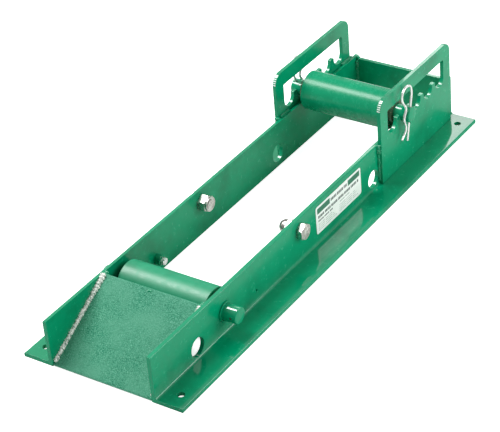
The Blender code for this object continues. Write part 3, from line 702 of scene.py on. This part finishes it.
# The wire's path from the foot of the straight leg: aside and up from the axle's centre, in mm
STRAIGHT_LEG = ((0, -43.5), (0, -30), (0, 0), (0, 20))
LOOP = ((0, 35), (2.2, 42), (6.5, 47.5), (13, 49.7), (21, 48.6), (27.5, 44.3), (30.6, 37.5),
        (29.3, 30), (25, 24), (19, 18.5))
WAVED_LEG = ((14, 13.5), (13.6, 8.5), (15.9, 1.5), (16.3, -4.5), (13, -12), (8.6, -18.5),
             (8.2, -23.5), (11.6, -30), (18.6, -38.5))
clip_zinc = plating("bright_zinc_wire", tint=(0.90, 0.90, 0.88), roughness=0.22, shine=0.8)
for side, out, lean, behind in CLIPS:
    up = Vector((0, math.sin(lean), math.cos(lean)))
    away = Vector((0, up.z, -up.y)) * (1 if behind else -1)
    centre = rear_axis + Vector((out * clip_out, 0, 0))
    path = (*STRAIGHT_LEG, *LOOP, *WAVED_LEG)
    line = bpy.data.curves.new(f"clip_wire_{side}", "CURVE")
    line.dimensions = "3D"
    line.bevel_depth = 1.95 * MM
    line.bevel_resolution = 6
    line.use_fill_caps = True
    line.resolution_u = 8
    spline = line.splines.new("BEZIER")
    spline.bezier_points.add(len(path) - 1)
    for point, (aside, height) in zip(spline.bezier_points, path):
        point.co = centre + away * aside * MM + up * height * MM
        point.handle_left_type = point.handle_right_type = "AUTO"
    clip = bpy.data.objects.new(f"clip_{side}", line)
    bpy.context.scene.collection.objects.link(clip)
    select_only(clip)
    bpy.ops.object.convert(target="MESH")
    clip = bpy.context.object
    select_only(clip)
    bpy.ops.object.mode_set(mode="EDIT")
    bpy.ops.mesh.select_all(action="SELECT")
    bpy.ops.mesh.remove_doubles(threshold=0.01 * MM)
    bpy.ops.mesh.normals_make_consistent(inside=False)
    bpy.ops.object.mode_set(mode="OBJECT")
    dress_edges(clip, 0.5 * MM, 3)
    fit(clip, f"hairpin_clip_{side}", f"clip_{side}", "zinc_plate", clip_zinc, f"rear_clip_{side}")

# --- Guide bolts and cap nuts ------------------------------------------------------------------
# A 5/8 inch plated hex bolt through each leg, with a domed nut inside that keeps the reel's flange
# off the rail. Each hexagon has a chamfer turned on its free face.

across_flats, head_height, nut_height = 23.8 * MM, 10 * MM, 13.5 * MM
dome_radius, dome_out = 11.6 * MM, 16.4 * MM
leg_face = -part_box("guide_nut_left")[0].x


def hex_head(seat, out, y, z, across, height):
    """A hexagon crossed with a cone, which leaves the arcs that a chamfer cuts on each flat."""
    hexagon = rod((seat, y, z), (seat + out * height, y, z), across / math.sqrt(3), 6)
    reach = across / math.sqrt(3) + 0.3 * MM
    rise = (reach - across / 2 + 0.6 * MM) * math.tan(math.radians(24))
    cone = rod((seat - out * MM, y, z), (seat + out * (height - rise), y, z), reach, 96)
    select_only(cone)
    bpy.ops.object.mode_set(mode="EDIT")
    pick(cone, "FACE", lambda middle, normal: normal.x * out > 0.9)
    bpy.ops.mesh.extrude_region_move(TRANSFORM_OT_translate={"value": (out * rise, 0, 0)})
    shrink = (across / 2 - 0.6 * MM) / reach
    bpy.ops.transform.resize(value=(1, shrink, shrink),
                             center_override=(seat + out * height, y, z))
    bpy.ops.object.mode_set(mode="OBJECT")
    cut(hexagon, cone, "INTERSECT")
    return hexagon


def crisp(piece):
    """Keeps flats flat and rounds round, with a hard line between them."""
    select_only(piece)
    bpy.ops.object.shade_smooth_by_angle(angle=math.radians(24))


for side, out in (("left", -1), ("right", 1)):
    y, z = bolt_axis.y, bolt_axis.z
    seat = out * (leg_outer + 0.3 * MM)
    bolt = hex_head(seat, out, y, z, across_flats, head_height)
    cut(bolt, rod((seat - out * (STEEL + 18 * MM), y, z), (seat + out * MM, y, z), 7.9 * MM, 64),
        "UNION")
    crisp(bolt)
    fit(bolt, f"hex_bolt_{side}", "frame", "zinc_plate", bright_zinc, f"guide_bolt_{side}")

    face = out * leg_face
    nut = hex_head(face, -out, y, z, across_flats, nut_height)
    dome_centre = (face - out * dome_out, y, z)
    bpy.ops.object.select_all(action="DESELECT")
    bpy.ops.mesh.primitive_uv_sphere_add(segments=64, ring_count=32, radius=dome_radius,
                                         location=dome_centre, rotation=(0, math.pi / 2, 0))
    bpy.ops.object.transform_apply(location=True, rotation=True, scale=True)
    dome = bpy.context.object
    cut(nut, rod((face - out * 8 * MM, y, z), dome_centre, dome_radius, 64), "UNION")
    cut(nut, dome, "UNION")
    cut(nut, rod((face + out * 2 * MM, y, z), (face - out * 19 * MM, y, z), 8.1 * MM, 64))
    crisp(nut)
    fit(nut, f"cap_nut_{side}", "frame", "zinc_plate", bright_zinc, f"guide_nut_{side}")

# --- Stops -------------------------------------------------------------------------------------
# A small turned boss welded low inside each leg behind the front roller and painted over, with a
# bright screw left proud of its end.

for side, out in (("left", -1), ("right", 1)):
    y, z = boss_axis.y, boss_axis.z
    near, far = out * boss_low.x, out * boss_high.x
    boss = rod((near, y, z), (far, y, z), (boss_high.z - boss_low.z) / 2, 64)
    round_off(boss, lambda middle, along: abs(middle.x - near) < 0.1 * MM, 1.0 * MM, 3)
    cut(boss, rod((near - out * MM, y, z), (far + out * MM, y, z), 3.8 * MM, 48))
    dress_edges(boss, 0.3 * MM)
    fit(boss, f"stop_stub_{side}", "frame", "green_paint", bar_paint, f"stop_boss_{side}")
    seat = near - out * 0.3 * MM
    screw = hex_head(seat, -out, y, z, 10.5 * MM, 5 * MM)
    cut(screw, rod((seat - out * MM, y, z), (seat + out * 9.5 * MM, y, z), 3.5 * MM, 48),
        "UNION")
    crisp(screw)
    fit(screw, f"stop_cap_screw_{side}", "frame", "zinc_plate", clip_zinc, f"stop_screw_{side}")

# --- Label -------------------------------------------------------------------------------------
# A white vinyl label with rounded corners on the outside of the right leg. Its print is a green
# header and plain bars where the words would be.

label_low, label_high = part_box("label")
label = block(label_low, label_high)
corner = 4 * MM
round_off(label, lambda middle, along: abs(along.x) > 0.1 * MM and abs(along.y) < 0.1 * MM
          and abs(along.z) < 0.1 * MM, corner, 6)


def printed_vinyl():
    """White vinyl, gone slightly off-white in clouds, with a soft ripple."""
    material, tree, shader, place = new_material("label_vinyl_white")
    cloud = noise(tree, place, 45, 4, 0.6)
    tree.links.new(ramp(tree, cloud, (0.3, (0.80, 0.88, 0.82)), (0.65, (0.92, 0.96, 0.92))),
                   shader.inputs["Base Color"])
    tree.links.new(ramp(tree, cloud, (0.3, 0.30), (0.7, 0.42)), shader.inputs["Roughness"])
    tree.links.new(bump(tree, 0.1, 0.2 * MM, cloud), shader.inputs["Normal"])
    return material


def ink(name, colour):
    """Print that has faded in patches."""
    material, tree, shader, place = new_material(name)
    fade = noise(tree, place, 260, 4, 0.7)
    light = tuple(min(1.0, channel * 1.5 + 0.03) for channel in colour)
    tree.links.new(ramp(tree, fade, (0.35, colour), (0.75, light)), shader.inputs["Base Color"])
    tree.links.new(ramp(tree, fade, (0.35, 0.35), (0.75, 0.5)), shader.inputs["Roughness"])
    return material


fit(label, "label_blank", "frame", "label_vinyl", printed_vinyl(), "label")


def mark(y0, y1, z0, z1):
    """A thin printed bar, in millimetres from the label's front bottom corner."""
    low = (label_high.x - 0.05 * MM, label_low.y + y0 * MM, label_low.z + z0 * MM)
    high = (label_high.x + 0.06 * MM, label_low.y + y1 * MM, label_low.z + z1 * MM)
    return block(low, high)


wide, tall = (label_high.y - label_low.y) / MM, (label_high.z - label_low.z) / MM
header = [mark(4, 40, tall - 13, tall - 3.5), mark(93, wide - 4, tall - 13, tall - 3.5)]
green_ink = ink("label_ink_green", (0.004, 0.125, 0.060))
fit(joined(header), "label_green_print", "frame", "label_vinyl", green_ink)


def bars(start, end, z0, z1, widths):
    """A row of short plain bars where a line of words would be."""
    gap, word_gap, word = 0.9, 2.6, 5
    row, here, number = [], start, 0
    while here + widths[number % len(widths)] <= end:
        row.append(mark(here, here + widths[number % len(widths)], z0, z1))
        here += widths[number % len(widths)] + (gap if (number + 1) % word else word_gap)
        number += 1
    return row


title = bars(43, 91, tall - 11, tall - 6, (2.4, 3.2, 1.6, 2.8))
title += bars(6, 123, 25.5, 30, (2.8, 2.2, 3.4, 1.8))
title += bars(6, 50, 19.5, 22.3, (2.0, 2.6, 1.5))
dark_ink = ink("label_ink_dark", (0.020, 0.050, 0.038))
fit(joined(title), "label_dark_print", "frame", "label_vinyl", dark_ink)
rows = bars(68, 98, 19.8, 22, (1.8, 2.5))
for row in range(4):
    z = 4.5 + row * 3.4
    rows += bars(6, 58 - row * 3, z, z + 1.2, (3.5, 2.1, 2.9))
    rows += bars(66, 121 - row * 5 % 9, z, z + 1.2, (2.2, 3.6, 2.7))
grey_ink = ink("label_ink_grey", (0.30, 0.38, 0.34))
fit(joined(rows), "label_grey_print", "frame", "label_vinyl", grey_ink)

# --- Floor, light and camera -------------------------------------------------------------------
# A plain pale sweep under soft studio light.

bpy.ops.object.select_all(action="DESELECT")
bpy.ops.mesh.primitive_plane_add(size=14, location=(0, 1.5, -0.2 * MM))
floor = bpy.context.object
floor.name = "studio_floor"
paper, tree, shader, place = new_material("studio_paper")
tone = noise(tree, place, 1.5, 2, 0.5)
tree.links.new(ramp(tree, tone, (0.3, 0.84), (0.7, 0.86)), shader.inputs["Base Color"])
shader.inputs["Roughness"].default_value = 0.9
# The sweep glows evenly from within, and only the lens sees that glow
seen = wire(tree, "ShaderNodeLightPath").outputs["Is Camera Ray"]
glow = wire(tree, "ShaderNodeMath", [("operation", "MULTIPLY")], i0=seen,
            i1=0.80).outputs["Value"]
shader.inputs["Emission Color"].default_value = (1, 1, 1, 1)
tree.links.new(glow, shader.inputs["Emission Strength"])
floor.data.materials.append(paper)


def softbox(name, location, size, power):
    """A rectangular studio light aimed at the middle of the frame."""
    aim = Vector((0, 0, 0.05)) - Vector(location)
    light = bpy.data.lights.new(name, "AREA")
    light.shape = "RECTANGLE"
    light.size, light.size_y = size
    light.energy = power
    lamp = bpy.data.objects.new(name, light)
    lamp.location = location
    lamp.rotation_euler = aim.to_track_quat("-Z", "Y").to_euler()
    bpy.context.scene.collection.objects.link(lamp)


softbox("key_softbox", (-1.15, -0.22, 2.10), (0.85, 1.6), 58)
softbox("rear_softbox", (-0.2, 2.6, 1.5), (2.0, 0.8), 14)
softbox("right_softbox", (1.9, 0.9, 0.9), (1.2, 1.2), 25)

world = bpy.data.worlds.new("studio_air")
world.use_nodes = True
air = world.node_tree.nodes["Background"].inputs
air["Color"].default_value = (1, 1, 1, 1)
air["Strength"].default_value = 0.42
bpy.context.scene.world = world
bpy.context.scene.view_settings.view_transform = "Standard"

lens = bpy.data.cameras.new("studio_camera")
lens.lens = 133.71
lens.sensor_width = 36
lens.shift_x, lens.shift_y = -0.0730, 0.0053
camera = bpy.data.objects.new("studio_camera", lens)
# Which way the camera's own right, top and back point, and where it stands
right = Vector((0.84488, 0.53100, -0.06489))
up = Vector((-0.24603, 0.49342, 0.83427))
back = Vector((0.47502, -0.68889, 0.54753))
turn = Matrix((right, up, back)).transposed().to_4x4()
camera.matrix_world = Matrix.Translation((1.36194, -1.92377, 1.56003)) @ turn
bpy.context.scene.collection.objects.link(camera)
bpy.context.scene.camera = camera
